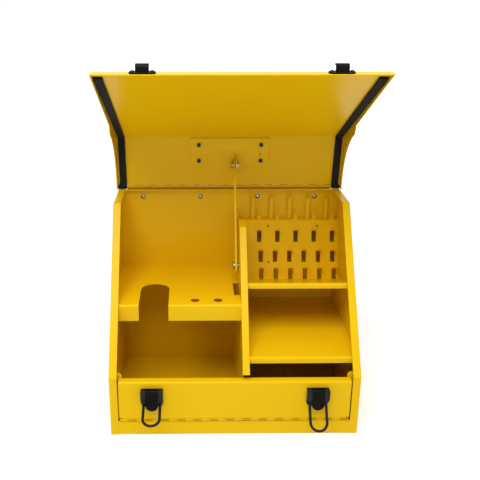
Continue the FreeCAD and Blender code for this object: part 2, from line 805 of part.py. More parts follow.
def stay_bar():
    """Flat bar with a round eye at the lid end and a wide tail that holds the arc slot."""
    x0, x1 = stay_x()
    open_place, shut, way = stay_line()
    chord = (shut - open_place).Length
    bow = stay_bow()[1]
    tail = stay_reach + stay_tail
    back = stay_back_edge()
    swell = stay_reach - chord - stay_tail
    corner = stay_edge
    diagonal = corner * (1 - math.sqrt(0.5))
    outline = [Part.Arc(stay_local(0, -stay_edge, x0), stay_local(-stay_edge, 0, x0),
                        stay_local(0, stay_edge, x0)).toShape()]
    straight = [(0, stay_edge), (swell - back, stay_edge), (swell, back), (tail - corner, back)]
    for a, b in zip(straight, straight[1:]):
        outline.append(Part.makeLine(stay_local(*a, x0), stay_local(*b, x0)))
    outline.append(Part.Arc(stay_local(tail - corner, back, x0),
                            stay_local(tail - diagonal, back - diagonal, x0),
                            stay_local(tail, back - corner, x0)).toShape())
    outline.append(Part.makeLine(stay_local(tail, back - corner, x0),
                                 stay_local(tail, corner - stay_edge, x0)))
    outline.append(Part.Arc(stay_local(tail, corner - stay_edge, x0),
                            stay_local(tail - diagonal, diagonal - stay_edge, x0),
                            stay_local(tail - corner, -stay_edge, x0)).toShape())
    outline.append(Part.makeLine(stay_local(tail - corner, -stay_edge, x0), stay_local(0, -stay_edge, x0)))
    bar = Part.Face(Part.Wire(outline)).extrude(FreeCAD.Vector(stay_thickness, 0, 0))
    eye = rod(x0 - over, x1 + over, open_place.y, open_place.z, stay_pin_radius + pin_clearance)
    return bar.cut([eye, arc_slot(chord, bow, x0 - over, stay_thickness + 2 * over)])


def arc_slot(chord, bow, x, deep):
    """Slot of the pin's path on the bar: an arc of the pivot's own radius, with round ends."""
    radius = stay_bow()[0]
    reach = stay_pin_radius + stay_slot_clearance
    middle_u = stay_reach - chord / 2
    centre_v = bow - radius
    swing = math.radians(lid_open) / 2

    def on_arc(r, angle):
        return stay_local(middle_u + r * math.sin(angle), centre_v + r * math.cos(angle), x)

    def cap(angle, side):
        end_u = middle_u + radius * math.sin(angle) + side * reach * math.cos(angle)
        end_v = centre_v + radius * math.cos(angle) - side * reach * math.sin(angle)
        return Part.Arc(on_arc(radius + side * reach, angle), stay_local(end_u, end_v, x),
                        on_arc(radius - side * reach, angle)).toShape()

    far = radius + reach
    near = radius - reach
    outer = Part.Arc(on_arc(far, -swing), on_arc(far, 0), on_arc(far, swing))
    inner = Part.Arc(on_arc(near, swing), on_arc(near, 0), on_arc(near, -swing))
    wire = Part.Wire([outer.toShape(), cap(swing, 1), inner.toShape(), cap(-swing, -1)])
    return Part.Face(wire).extrude(FreeCAD.Vector(deep, 0, 0))


def stay_shelf_slot():
    """Depth range of the left shelf's slot: where the bar crosses it as the lid shuts, with a margin."""
    open_place, shut, way = stay_line()
    hinge = point(hinge_y, hinge_z)
    back = FreeCAD.Vector(0, -way.z, way.y)
    crossings = []
    for step in range(stay_slot_steps + 1):
        turn = FreeCAD.Rotation(X_AXIS, lid_open * step / stay_slot_steps)
        pivot = hinge + turn.multVec(open_place - hinge)
        for v in (-stay_edge, stay_back_edge()):
            u = (left_shelf_z - pivot.z - back.z * v) / way.z
            if u < stay_reach + stay_tail:
                crossings.append(pivot.y + way.y * u + back.y * v)
    return min(crossings) - stay_slot_margin, max(crossings) + stay_slot_margin


def hexagon_nut(centre, way, radius, tall, bore):
    """Six-sided nut standing on a face."""
    across = FreeCAD.Vector(0, 1, 0) if abs(way.y) < 0.5 else X_AXIS
    third = way.cross(across)
    corners = []
    for i in range(7):
        angle = math.radians(60 * i)
        corners.append(centre + across * (radius * math.cos(angle)) + third * (radius * math.sin(angle)))
    nut = Part.Face(Part.makePolygon(corners)).extrude(way * tall)
    return nut.cut(Part.makeCylinder(bore, tall, centre, way))


def stay_pivot_bolt():
    """Bolt through the ear and the stay's eye, with its head on the stay's side."""
    y, z = on_lid(stay_along, -stay_drop)
    bar_left = stay_x()[0] - stay_side_gap
    head = rod(bar_left - stay_bolt_head, bar_left, y, z, stay_bolt_head_radius)
    rim = [e for e in head.Edges if e.Vertexes[0].X < bar_left - stay_bolt_head / 2]
    head = head.makeFillet(stay_bolt_head / 2, rim)
    shank = rod(bar_left, ear_x + sheet + stay_nut, y, z, stay_pin_radius)
    return opened(joined(head, [shank]))


def stay_pivot_nut():
    y, z = on_lid(stay_along, -stay_drop)
    face = point(y, z, ear_x + sheet)
    return opened(hexagon_nut(face, X_AXIS, stay_nut_radius, stay_nut, stay_pin_radius))


def stay_pin():
    """Shouldered pin on the divider's left face that the stay's slot rides on."""
    place = stay_pin_place()
    bar_left = stay_x()[0] - stay_side_gap
    head = rod(bar_left - stay_bolt_head, bar_left, place.y, place.z, stay_pin_head_radius)
    rim = [e for e in head.Edges if e.Vertexes[0].X < bar_left - stay_bolt_head / 2]
    head = head.makeFillet(stay_bolt_head / 2, rim)
    return joined(head, [rod(bar_left, divider_x, place.y, place.z, stay_pin_radius)])


def latch_base():
    """Channel on the drop front: a round-shouldered plate, side walls, lips turned in beside the lever."""
    plate = box(-latch_half, latch_half, -sheet, 0.0, latch_foot, latch_top)
    for radius, z in ((latch_shoulder, latch_foot), (latch_corner, latch_top)):
        pair = edges_through(plate, -latch_half, z) + edges_through(plate, latch_half, z)
        plate = plate.makeFillet(radius, pair)
    low = latch_foot + latch_shoulder
    out = -latch_wall_out
    profile = [(0.0, low), (out, low - out), (out, latch_top), (0.0, latch_top)]
    wall = slab(profile, latch_half - latch_wall, latch_half)
    lip_x = lever_half + run_gap
    lip_low = bail_pivot_z + latch_lip_rise
    lip = box(lip_x, latch_half, -lever_out, out, lip_low, latch_top)
    lip = lip.makeFillet(latch_lip_round, edges_through(lip, latch_half, lip_low))
    roof = box(lip_x, latch_half, -lever_out, 0.0, latch_top - latch_wall, latch_top)
    cheek = joined(wall, [lip, roof])
    cheek = cheek.makeFillet(latch_corner, edges_through(cheek, latch_half, latch_top))
    base = joined(plate, [cheek, mirrored(cheek)])
    cuts = [rod(-latch_half, latch_half, -lever_pivot_out, lever_pivot_z, lever_pin_radius)]
    for up in latch_rivet_up:
        z = latch_foot + up
        cuts.append(round_along(point(-sheet - over, z), point(over, z), latch_rivet_radius / 2))
    return base.cut(cuts)


def edges_through(shape, x, z):
    """Edges that run square to the front at one place of the front view."""
    return [edge for edge in shape.Edges if all(abs(v.X - x) + abs(v.Z - z) < 1e-6 for v in edge.Vertexes)]


def latch_rivet_pair():
    rivets = []
    out = FreeCAD.Vector(0, -1, 0)
    for up in latch_rivet_up:
        z = latch_foot + up
        shank = round_along(point(0.0, z), point(-sheet, z), latch_rivet_radius / 2)
        head = dome(point(-sheet, z), out, latch_rivet_radius, latch_rivet_head)
        rivets.append(joined(shank, [head]))
    return rivets


def lever_outline(inset, y, top):
    """Front-view outline of the lever: straight sides and a half-round nose."""
    reach = lever_half - inset
    middle = lever_nose + lever_half
    left = point(y, middle, -reach)
    right = point(y, middle, reach)
    edges = [Part.makeLine(left, point(y, top, -reach)),
             Part.makeLine(point(y, top, -reach), point(y, top, reach)),
             Part.makeLine(point(y, top, reach), right),
             Part.Arc(right, point(y, middle - reach, 0.0), left).toShape()]
    return Part.Face(Part.Wire(edges))


def latch_lever():
    """Pressed lever: a dished face, side walls with round heels on the pin, a nose that holds the bail."""
    walls = lever_out - sheet - lever_back_gap
    solid = lever_outline(0.0, -lever_out, lever_top).extrude(FreeCAD.Vector(0, walls, 0))
    face_back = lever_sheet - lever_out
    hollow = lever_outline(lever_sheet, face_back, lever_top + over)
    wide = lever_half + over
    relief = box(-wide, wide, face_back, 0.0, lever_pivot_z, lever_top + over)
    solid = solid.cut([hollow.extrude(FreeCAD.Vector(0, walls, 0)), relief])
    heel = rod(lever_half - lever_sheet, lever_half, -lever_pivot_out, lever_pivot_z, lever_heel)
    solid = joined(solid, [heel, mirrored(heel)])
    dish_floor = point(lever_dish_depth - lever_out, lever_dish_z)
    dish = round_along(point(-lever_out - over, lever_dish_z), dish_floor, lever_dish_radius)
    pin_hole = rod(-wide, wide, -lever_pivot_out, lever_pivot_z, lever_pin_radius + pin_clearance)
    bail_hole = rod(-wide, wide, -bail_pivot_out, bail_pivot_z, bail_wire + pin_clearance)
    return solid.cut([dish, pin_hole, bail_hole])


def latch_pin():
    return rod(-latch_half, latch_half, -lever_pivot_out, lever_pivot_z, lever_pin_radius)


def latch_bail(lean):
    """Wire loop whose turned-in ends sit in the lever's nose, swung out from the panel by its lean."""
    tip = lever_half - lever_sheet + run_gap
    bottom = bail_length - bail_half

    def spot(x, z):
        return point(-bail_pivot_out, bail_pivot_z + z, x)

    def elbow(side):
        bow = bail_elbow * math.sqrt(0.5)
        inner = bail_half - bail_elbow
        return [spot(side * inner, 0), spot(side * (inner + bow), bow - bail_elbow),
                spot(side * bail_half, -bail_elbow)]

    right = elbow(1)
    left = elbow(-1)[::-1]
    legs = [spot(bail_half, -bottom), spot(0, -bail_length), spot(-bail_half, -bottom)]
    edges = [Part.makeLine(spot(tip, 0), right[0]),
             Part.Arc(*right).toShape(),
             Part.makeLine(right[-1], legs[0]),
             Part.Arc(*legs).toShape(),
             Part.makeLine(legs[-1], left[0]),
             Part.Arc(*left).toShape(),
             Part.makeLine(left[-1], spot(-tip, 0))]
    loop = swept(edges, bail_wire, spot(tip, 0), X_AXIS)
    loop.rotate(spot(0, 0), X_AXIS, -lean)
    return loop


def swept(edges, radius, start, way):
    """Round wire carried along lines and tangent arcs."""
    section = Part.Wire(Part.makeCircle(radius, start, way))
    return Part.Wire(edges).makePipeShell([section], True, True)


def keeper():
    """Round-ended plate on the lid's front flange with an upturned hook for the bail."""
    face_y = -lid_front_gap - sheet
    middle = (keeper_low + keeper_high) / 2
    radius = (keeper_high - keeper_low) / 2
    straight = keeper_half - radius
    back = point(face_y, middle, straight)
    front = point(face_y - keeper_plate, middle, straight)
    end = round_along(front, back, radius)
    plate = box(-straight, straight, face_y - keeper_plate, face_y, keeper_low, keeper_high)
    hook_y = face_y - hook_out
    hook_line = [(hook_y, hook_high), (hook_y, hook_low), (face_y, hook_low)]
    hook = bent_sheet(hook_line, -hook_half, hook_half, hook_sheet)
    solid = joined(plate, [end, mirrored(end), hook])
    holes = []
    for x in (-keeper_screw_x, keeper_screw_x):
        start = point(face_y - keeper_plate - over, middle, x)
        holes.append(round_along(start, point(face_y + over, middle, x), keeper_screw_shank))
    return solid.cut(holes)


def keeper_screw_pair():
    """Pan-head screws through the keeper plate, flush inside the flange."""
    face_y = -lid_front_gap - sheet - keeper_plate
    middle = (keeper_low + keeper_high) / 2
    out = FreeCAD.Vector(0, -1, 0)
    screws = []
    for x in (-keeper_screw_x, keeper_screw_x):
        seat = point(face_y, middle, x)
        shank = round_along(seat, point(face_y + keeper_plate, middle, x), keeper_screw_shank)
        screws.append(joined(shank, [dome(seat, out, keeper_screw_radius, keeper_screw_head)]))
    return screws


def moved(shape, x):
    copy = shape.copy()
    copy.translate(FreeCAD.Vector(x, 0, 0))
    return copy


def handle_middle():
    return sum(handle_bolt_along) / len(handle_bolt_along)


def handle_bracket():
    """Saddle bolted to the lid, with a bored hump that carries one end of the handle bar."""
    y, z = on_lid(handle_middle(), sheet)
    reach = (handle_bolt_along[1] - handle_bolt_along[0]) / 2
    hump = handle_bar + bracket_wall
    plate = box(-bracket_half_x, bracket_half_x, y - reach, y + reach, z, z + bracket_plate)
    ends = []
    for side in (-1, 1):
        foot = point(y + side * reach, z)
        ends.append(round_along(foot, foot + FreeCAD.Vector(0, 0, bracket_plate), bracket_end))
    top = z + handle_pivot_height
    shoulder_y = math.sqrt(hump ** 2 - bracket_shoulder ** 2)
    shoulder_z = top + bracket_shoulder
    spread_y = hump + bracket_flare
    foot_z = z + bracket_plate
    pier = slab([(y - spread_y, foot_z), (y - shoulder_y, shoulder_z), (y + shoulder_y, shoulder_z),
                 (y + spread_y, foot_z)], -bracket_half_x, bracket_half_x)
    barrel = rod(-bracket_half_x, bracket_half_x, y, top, hump)
    solid = joined(plate, ends + [pier, barrel])
    cuts = [rod(-bracket_half_x - over, bracket_half_x + over, y, top, handle_bar + pin_clearance)]
    for side in (-1, 1):
        foot = point(y + side * reach, z - over)
        deep = FreeCAD.Vector(0, 0, bracket_plate + 2 * over)
        cuts.append(round_along(foot, foot + deep, handle_bolt_radius))
    return solid.cut(cuts)


def handle_bolts():
    bolts = []
    for x in (-handle_bolt_x, handle_bolt_x):
        for along in handle_bolt_along:
            y, z = on_lid(along, sheet + bracket_plate)
            top = point(y, z, x)
            end = point(y, on_lid(along, -plate_sheet - handle_nut)[1], x)
            shank = round_along(end, top, handle_bolt_radius)
            head = dome(top, FreeCAD.Vector(0, 0, 1), handle_bolt_head_radius, handle_bolt_head)
            bolts.append(joined(shank, [head]))
    return opened(Part.makeCompound(bolts))


def handle_nuts():
    nuts = []
    for x in (-handle_bolt_x, handle_bolt_x):
        for along in handle_bolt_along:
            y, z = on_lid(along, -plate_sheet)
            nuts.append(hexagon_nut(point(y, z, x), FreeCAD.Vector(0, 0, -1), handle_nut_radius, handle_nut,
                                    handle_bolt_radius))
    return opened(Part.makeCompound(nuts))


def handle_frame(shape):
    """Fold a piece of the handle, drawn standing on the shut lid, down to the hinge, and open the lid."""
    y, z = on_lid(handle_middle(), sheet + handle_pivot_height)
    folded = shape.copy()
    folded.rotate(point(y, z), X_AXIS, handle_fold - 90)
    return opened(folded)


def handle_bail():
    """Round bar: stubs in the brackets, legs outside them and a straight run for the grip."""
    y, z = on_lid(handle_middle(), sheet + handle_pivot_height)
    stub = handle_bolt_x - bracket_half_x
    bow = handle_elbow * (1 - math.sqrt(0.5))
    far = handle_bolt_x + bracket_half_x + handle_side_gap + handle_elbow

    def spot(x, up):
        return point(y, z + up, x)

    edges = [Part.makeLine(spot(stub, 0), spot(far - handle_elbow, 0)),
             Part.Arc(spot(far - handle_elbow, 0), spot(far - bow, bow), spot(far, handle_elbow)).toShape(),
             Part.makeLine(spot(far, handle_elbow), spot(far, handle_leg - handle_elbow)),
             Part.Arc(spot(far, handle_leg - handle_elbow), spot(far - bow, handle_leg - bow),
                      spot(far - handle_elbow, handle_leg)).toShape(),
             Part.makeLine(spot(far - handle_elbow, handle_leg), spot(handle_elbow - far, handle_leg)),
             Part.Arc(spot(handle_elbow - far, handle_leg), spot(bow - far, handle_leg - bow),
                      spot(-far, handle_leg - handle_elbow)).toShape(),
             Part.makeLine(spot(-far, handle_leg - handle_elbow), spot(-far, handle_elbow)),
             Part.Arc(spot(-far, handle_elbow), spot(bow - far, bow), spot(handle_elbow - far, 0)).toShape(),
             Part.makeLine(spot(handle_elbow - far, 0), spot(-stub, 0))]
    return handle_frame(swept(edges, handle_bar, spot(stub, 0), X_AXIS))


def handle_grip():
    """Rubber sleeve on the bar, a little waisted along its length."""
    y, z = on_lid(handle_middle(), sheet + handle_pivot_height)
    axis_z = z + handle_leg

    def spot(x, r):
        return point(y, axis_z + r, x)

    end = grip_half - grip_chamfer
    edges = [Part.makeLine(spot(-grip_half, handle_bar), spot(-grip_half, grip_radius - grip_chamfer)),
             Part.makeLine(spot(-grip_half, grip_radius - grip_chamfer), spot(-end, grip_radius)),
             Part.Arc(spot(-end, grip_radius), spot(0, grip_waist), spot(end, grip_radius)).toShape(),
             Part.makeLine(spot(end, grip_radius), spot(grip_half, grip_radius - grip_chamfer)),
             Part.makeLine(spot(grip_half, grip_radius - grip_chamfer), spot(grip_half, handle_bar)),
             Part.makeLine(spot(grip_half, handle_bar), spot(-grip_half, handle_bar))]
    return handle_frame(Part.Face(Part.Wire(edges)).revolve(point(y, axis_z), X_AXIS, 360))


def build_case():
    side = side_panel()
    export("left_side_panel", side)
    export("right_side_panel", mirrored(side))
    export("back_panel", back_panel())
    export("base_pan", base_pan())
    export("divider", divider())
    export("left_shelf", left_shelf())
    export("right_shelf", right_shelf())
    export("socket_tray", socket_tray())
    stop = stop_bracket()
    export("stop_bracket_left", stop)
    export("stop_bracket_right", mirrored(stop))
    export("stop_buttons", stop_buttons())
    export("lid_hinge_body_leaf", lid_hinge_body_leaf())
    export("lid_hinge_pin", hinge_pin(hinge_y, hinge_z, lid_hinge_pin_radius))
    export("lid_hinge_rivets", hinge_rivets())
    export("stay_pin", stay_pin())
    export("front_hinge_base_leaf", front_leaf(-1))
    export("front_hinge_pin", hinge_pin(front_axis_y(), front_hinge_height, front_hinge_pin_radius))


def build_front():
    export("front_panel", front_panel())
    export("front_hinge_panel_leaf", front_leaf(1))
    rivets = []
    pins = []
    for side, x in (("left", -latch_x), ("right", latch_x)):
        export("latch_base_" + side, moved(latch_base(), x))
        export("latch_lever_" + side, moved(latch_lever(), x))
        export("latch_bail_" + side, moved(latch_bail(bail_lean[side]), x))
        rivets += [moved(rivet, x) for rivet in latch_rivet_pair()]
        pins.append(moved(latch_pin(), x))
    export("latch_rivets", Part.makeCompound(rivets))
    export("latch_pins", Part.makeCompound(pins))


def build_lid():
    export("lid_shell", lid_shell())
    seal = gasket()
    export("gasket_left", seal)
    export("gasket_right", mirrored(seal))
    export("lid_hinge_lid_leaf", lid_hinge_lid_leaf())
    export("lid_plate", lid_plate())
    export("stay_pivot_bolt", stay_pivot_bolt())
    export("stay_pivot_nut", stay_pivot_nut())
    export("stay_bar", stay_bar())
    screws = []
    for side, x in (("left", -latch_x), ("right", latch_x)):
        export("keeper_" + side, opened(moved(keeper(), x)))
        screws += [moved(screw, x) for screw in keeper_screw_pair()]
    export("keeper_screws", opened(Part.makeCompound(screws)))


def build_handle():
    bracket = handle_bracket()
    export("handle_bracket_left", opened(moved(bracket, -handle_bolt_x)))
    export("handle_bracket_right", opened(moved(bracket, handle_bolt_x)))
    export("handle_bolts", handle_bolts())
    export("handle_nuts", handle_nuts())
    export("handle_bail", handle_bail())
    export("handle_grip", handle_grip())


os.makedirs("parts", exist_ok=True)
build_case()
build_front()
build_lid()
build_handle()
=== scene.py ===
# %% [markdown]
# Dressing a sheet-steel toolbox.
# The box arrives as a packed frame: every sheet, hinge, latch and bolt is already a solid at its real size,
# and each one rides on a body that a joint can move. Blender adds what bare solids don't have: yellow powder
# coat, black coat on the latches, bright zinc on the hinge rivets, foam seals, a ribbed rubber grip and the
# light of a studio.

# %% Load the frame
import json
import math

import bpy
import numpy as np
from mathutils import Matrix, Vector


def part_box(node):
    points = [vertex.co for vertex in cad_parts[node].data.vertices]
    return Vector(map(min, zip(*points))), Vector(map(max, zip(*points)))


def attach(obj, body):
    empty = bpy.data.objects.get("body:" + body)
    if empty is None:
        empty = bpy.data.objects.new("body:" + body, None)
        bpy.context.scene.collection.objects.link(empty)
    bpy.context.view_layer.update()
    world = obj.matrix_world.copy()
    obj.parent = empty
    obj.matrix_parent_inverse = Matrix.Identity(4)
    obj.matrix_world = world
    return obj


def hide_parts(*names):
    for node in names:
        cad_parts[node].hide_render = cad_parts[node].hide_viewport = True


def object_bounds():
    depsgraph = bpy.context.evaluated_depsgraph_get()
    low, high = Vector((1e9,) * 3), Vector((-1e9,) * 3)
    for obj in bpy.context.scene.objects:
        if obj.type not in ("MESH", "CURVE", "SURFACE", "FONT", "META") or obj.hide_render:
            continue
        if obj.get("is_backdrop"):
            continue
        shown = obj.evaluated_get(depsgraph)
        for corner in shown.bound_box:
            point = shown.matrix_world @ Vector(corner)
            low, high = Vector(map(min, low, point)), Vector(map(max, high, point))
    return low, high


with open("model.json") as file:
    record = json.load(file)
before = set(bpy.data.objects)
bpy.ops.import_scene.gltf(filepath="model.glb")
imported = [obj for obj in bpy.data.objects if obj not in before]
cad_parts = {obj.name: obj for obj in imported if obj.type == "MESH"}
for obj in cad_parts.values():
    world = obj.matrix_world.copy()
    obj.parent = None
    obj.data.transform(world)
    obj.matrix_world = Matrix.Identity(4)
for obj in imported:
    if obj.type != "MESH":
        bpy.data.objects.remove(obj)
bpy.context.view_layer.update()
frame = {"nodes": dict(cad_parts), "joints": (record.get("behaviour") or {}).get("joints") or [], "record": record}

MM = 0.001
nodes = frame["nodes"]
joints = {joint["name"]: joint for joint in frame["joints"]}

# %% [markdown]
# Shader maths as Python.
# A material is a graph of nodes. It could be linked up node by node, but arithmetic is easier to read as
# arithmetic. The class below wraps one output socket. Adding or multiplying two wires adds a Math node, and
# `node` adds any other kind: its settings go on first, then the values and links of its sockets.


# %% A socket that does arithmetic
class Wire:
    """One output socket of a node tree; Python operators on wires add Math nodes to the tree."""

    def __init__(self, tree, socket):
        self.tree = tree
        self.socket = socket

    def node(self, kind, settings=None, inputs=None, output=0):
        """Add a node: settings are its attributes, inputs are values or wires by socket name or number."""
        added = self.tree.nodes.new(kind)
        for name, value in (settings or {}).items():
            setattr(added, name, value)
        for name, value in (inputs or {}).items():
            if isinstance(value, Wire):
                self.tree.links.new(value.socket, added.inputs[name])
            else:
                added.inputs[name].default_value = value
        return Wire(self.tree, added.outputs[output])

    def math(self, operation, first, second):
        """A Math node on two values, each a number or a wire."""
        return self.node("ShaderNodeMath", {"operation": operation}, {0: first, 1: second})

    def __add__(self, other):
        return self.math("ADD", self, other)

    __radd__ = __add__

    def __sub__(self, other):
        return self.math("SUBTRACT", self, other)

    def __rsub__(self, other):
        return self.math("SUBTRACT", other, self)

    def __mul__(self, other):
        return self.math("MULTIPLY", self, other)

    __rmul__ = __mul__

    def larger(self, other):
        """The larger of two values."""
        return self.math("MAXIMUM", self, other)

    def between(self, low, high):
        """0 below low, 1 above high, and a smooth step between them."""
        settings = {"interpolation_type": "SMOOTHSTEP"}
        return self.node("ShaderNodeMapRange", settings, {"Value": self, "From Min": low, "From Max": high})


def colour(red, green, blue):
    """A colour socket's value: linear red, green and blue, opaque."""
    return (red, green, blue, 1.0)


def grey(level):
    """A colour with the same red, green and blue."""
    return colour(level, level, level)


print("wire:", [name for name in vars(Wire) if not name.startswith("__")])

# %% [markdown]
# A finish that knows its surface.
# Every finish reads the same two things: where a point lies (Object coordinates, in metres, so that a noise
# scale of 1000 means grains of about a millimetre), and how close it is to an edge. The edges could be
# painted by hand on each mesh. The Bevel node finds them instead: its rounded normal differs from the true
# one only near an edge, so one minus their dot product is an edge mask on any mesh.

# %% Helpers that every finish uses
bevel_samples = 6
edge_span = (0.01, 0.22)


class Finish:
    """A material with a Principled shader and the wires that its patterns start from."""

    def __init__(self, name, **constants):
        self.material = bpy.data.materials.new(name)
        self.material.use_nodes = True
        self.tree = self.material.node_tree
        self.shader = self.tree.nodes["Principled BSDF"]
        for socket, value in constants.items():
            self.shader.inputs[socket.replace("_", " ")].default_value = value
        self.place = Wire(self.tree, self.shader.outputs[0]).node("ShaderNodeTexCoord", output="Object")

    def noise(self, scale, detail):
        """Soft noise about 0.5, with a scale in patches per metre."""
        inputs = {"Vector": self.place, "Scale": scale, "Detail": detail}
        return self.place.node("ShaderNodeTexNoise", inputs=inputs)

    def cells(self, scale):
        """Distance to the nearest of many scattered points, with a scale in points per metre."""
        return self.place.node("ShaderNodeTexVoronoi", inputs={"Vector": self.place, "Scale": scale})

    def round_normal(self, radius):
        """The normal that the surface would have with its edges rounded to a radius."""
        return self.place.node("ShaderNodeBevel", {"samples": bevel_samples}, {"Radius": radius})

    def edge(self, radius):
        """0 on flat faces, rising to 1 on the edges."""
        flat = self.place.node("ShaderNodeNewGeometry", output="Normal")
        alike = self.place.node("ShaderNodeVectorMath", {"operation": "DOT_PRODUCT"},
                                {0: self.round_normal(radius), 1: flat}, output="Value")
        return (1.0 - alike).between(*edge_span)

    def blend(self, factor, first, second):
        """A colour between two colours, each a value or a wire."""
        inputs = {0: factor, 6: first, 7: second}
        return self.place.node("ShaderNodeMix", {"data_type": "RGBA"}, inputs, output=2)

    def bump(self, height, distance, strength, normal=None):
        """A normal that leans with a height, on top of another normal or of the mesh's own."""
        inputs = {"Height": height, "Distance": distance, "Strength": strength}
        if normal:
            inputs["Normal"] = normal
        return self.place.node("ShaderNodeBump", inputs=inputs)

    def feed(self, **wires):
        """Link wires to the shader's sockets by name, and hand over the material."""
        for socket, wire in wires.items():
            self.tree.links.new(wire.socket, self.shader.inputs[socket.replace("_", " ")])
        print("finish:", self.material.name, "with", len(self.tree.nodes), "nodes")
        return self.material


print("finish helpers:", [name for name in vars(Finish) if not name.startswith("__")])

# %% [markdown]
# Yellow powder coat.
# Powder is sprayed dry on the sheet and baked until it flows. It leaves a satin skin with a faint orange peel
# a few millimetres across and a finer grain, and it draws back from sharp edges, where it is thinner. A plain
# yellow would look like plastic, and a painted image would blur up close. So patterns at four scales do it: a
# slow drift of colour, specks, and the peel and grain that lift the surface with a bump. Hinge leaves get a
# deeper, duller coat than the panels, as painted shade on their knuckles and the gaps between them, and the
# drop front's fixed leaf the deepest, as painted shadow for the gaps around its knuckles.

# %% Powder coat
drift_scale = 7.0
drift_span = (0.25, 0.75)
drift_share = 0.55
drift_gloss = 0.06
peel_scale = 330.0
peel_share = 0.7
grain_scale = 1500.0
grain_share = 0.3
grain_gloss = 0.1
speck_scale = 900.0
speck_span = (0.06, 0.16)
speck_share = 0.12
thin_edge = 0.9 * MM
thin_gain = 1.06
thin_white = 0.02
edge_gloss = 0.05
coat_round = 0.6 * MM
coat_lift = 0.35 * MM
coat_bump = 0.22


def powder_coat(name, base, deep, roughness, thinning, shine):
    """Satin coat: drift and specks from base to deep, peel and grain in the bump, paler on thin edges."""
    finish = Finish(name, IOR=1.5, Specular_IOR_Level=shine)
    drift = finish.noise(drift_scale, detail=3.0)
    peel = finish.noise(peel_scale, detail=2.0)
    grain = finish.noise(grain_scale, detail=2.0)
    speck = 1.0 - finish.cells(speck_scale).between(*speck_span)
    edge = finish.edge(thin_edge)
    pale = colour(*[min(1.0, channel * thin_gain + thin_white) for channel in base[:3]])
    tone = finish.blend(drift.between(*drift_span) * drift_share, base, deep)
    tone = finish.blend(speck * speck_share, tone, deep)
    tone = finish.blend(edge * thinning, tone, pale)
    gloss = roughness + (grain - 0.5) * grain_gloss + (drift - 0.5) * drift_gloss - edge * edge_gloss
    height = peel * peel_share + grain * grain_share
    normal = finish.bump(height, coat_lift, coat_bump, finish.round_normal(coat_round))
    return finish.feed(Base_Color=tone, Roughness=gloss, Normal=normal)


yellow_coat = powder_coat("yellow_powder_coat", colour(0.80, 0.502, 0.003), colour(0.77, 0.474, 0.003),
                          roughness=0.24, thinning=0.25, shine=0.09)
# Hinge leaves: a darker copy of the coat, painted shade on the knuckles and the gaps between them
hinge_painted_shade_coat = powder_coat("painted_shade_hinge_powder", colour(0.72, 0.445, 0.003), colour(0.67, 0.405, 0.003),
                         roughness=0.45, thinning=0.0, shine=0.06)
# Fixed leaf of the drop front: darker still, painted shadow for the gaps around its knuckles
knuckle_painted_shadow_coat = powder_coat("painted_shadow_knuckle_powder", colour(0.56, 0.31, 0.002), colour(0.44, 0.22, 0.002),
                           roughness=0.60, thinning=0.0, shine=0.02)

# %% [markdown]
# Black coat on latches and wire.
# Latches, keepers and the handle, with their rivets and bolts, are steel under a thin satin black coat. It is
# mottled and finely dimpled, and rubbed to a warm grey along edges, where fingers and wire touch. One black
# for all would lose the levers against their plates, so the same coat is made twice: levers and keepers are
# deeper and duller.

# %% Black coat
mottle_scale = 60.0
mottle_gloss = 0.18
dimple_scale = 900.0
dimple_gloss = 0.08
dimple_lift = 0.2 * MM
dimple_bump = 0.25
rub_scale = 260.0
rub_span = (0.42, 0.62)
rub_grey = colour(0.06, 0.057, 0.054)
rub_share = 0.5
rub_edge = 0.7 * MM
black_roughness = 0.34


def black_coat(name, dark, light, shine):
    """Satin black: mottled from dark to light, a fine dimple in the bump, edges rubbed grey in patches."""
    finish = Finish(name, IOR=1.5, Specular_IOR_Level=shine)
    mottle = finish.noise(mottle_scale, detail=4.0)
    dimple = finish.noise(dimple_scale, detail=3.0)
    rub = finish.edge(rub_edge) * finish.noise(rub_scale, detail=4.0).between(*rub_span)
    tone = finish.blend(mottle, dark, light)
    tone = finish.blend(rub * rub_share, tone, rub_grey)
    gloss = black_roughness + (mottle - 0.5) * mottle_gloss + (dimple - 0.5) * dimple_gloss
    normal = finish.bump(dimple, dimple_lift, dimple_bump, finish.round_normal(coat_round))
    return finish.feed(Base_Color=tone, Roughness=gloss, Normal=normal)


black_metal = black_coat("black_coat", colour(0.005, 0.005, 0.006), grey(0.011), shine=0.20)
deep_black = black_coat("deep_black_coat", grey(0.002), grey(0.004), shine=0.07)

# %% [markdown]
# Bright zinc.
# The hinges' pins and rivets, the stop buttons, and the stay's pin, bolt and nut are bare zinc on steel. A
# mirror-like metal would look like chrome. Zinc has a patchy sheen and faint crystals, so a noise moves its
# tone, and the noise and a cell pattern move its roughness.

# %% Bright zinc
patch_scale = 220.0
patch_share = 0.6
patch_gloss = 0.14
crystal_scale = 1400.0
crystal_share = 0.4
crystal_gloss = 0.05
# Both zinc tones are darker than bare zinc: painted shade for the dark box interior that the rivets mirror
zinc_dark = colour(0.24, 0.24, 0.245)
zinc_light = colour(0.40, 0.40, 0.395)
zinc_roughness = 0.22
zinc_round = 0.4 * MM
zinc_lift = 0.1 * MM
zinc_bump = 0.2


def bright_zinc(name):
    """Metal whose patches are paler and rougher together, with small crystals in the bump."""
    finish = Finish(name, Metallic=1.0)
    patch = finish.noise(patch_scale, detail=3.0)
    crystal = finish.cells(crystal_scale)
    tone = finish.blend(patch, zinc_dark, zinc_light)
    gloss = zinc_roughness + patch * patch_gloss + crystal * crystal_gloss
    height = patch * patch_share + crystal * crystal_share
    normal = finish.bump(height, zinc_lift, zinc_bump, finish.round_normal(zinc_round))
    return finish.feed(Base_Color=tone, Roughness=gloss, Normal=normal)


zinc = bright_zinc("bright_zinc")

